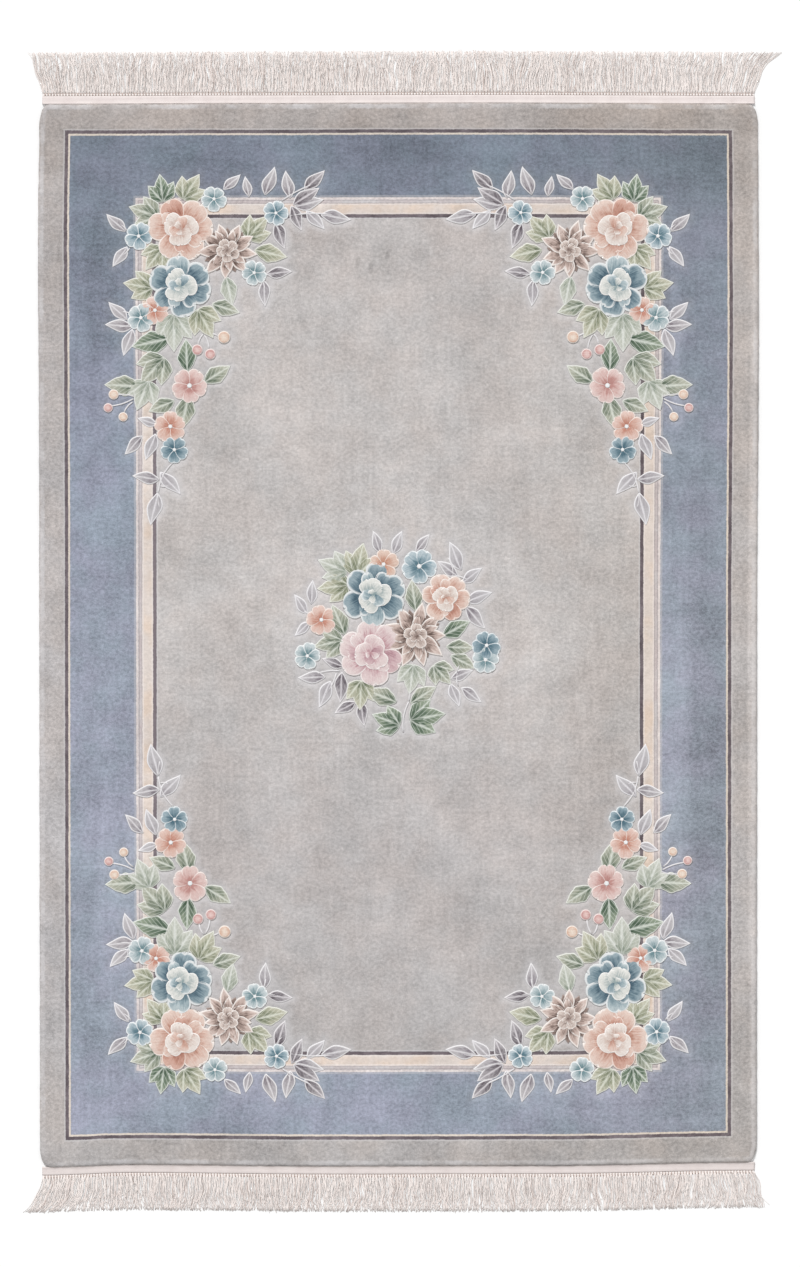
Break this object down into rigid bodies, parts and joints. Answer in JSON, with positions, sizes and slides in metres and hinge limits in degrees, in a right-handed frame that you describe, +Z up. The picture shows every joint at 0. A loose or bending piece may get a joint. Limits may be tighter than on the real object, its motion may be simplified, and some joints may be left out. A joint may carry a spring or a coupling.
{
  "type": "chinese silk rug",
  "caption": "Flat rectangular knotted silk rug with a pale field, a blue border, carved flower sprays at the corners, a round centre bouquet and a fringe at each end.",
  "frame": {"origin": "on the floor, under the middle of the pile", "axes": "+X across the rug, +Y along it to the head end, +Z up out of the pile"},
  "size_m": [1.8977, 2.9728, 0.0143],
  "materials": {
    "silk_pile": "soft silk sheen, pale silver grey field, blue border and pastel flowers",
    "cream_weave": "matt flat weave",
    "cream_yarn": "matt soft yarn"
  },
  "bodies": {
    "root": {"pile": "silk_pile", "end_web_head": "cream_weave", "end_web_foot": "cream_weave", "fringe_head": "cream_yarn", "fringe_foot": "cream_yarn"}
  },
  "joints": []
}
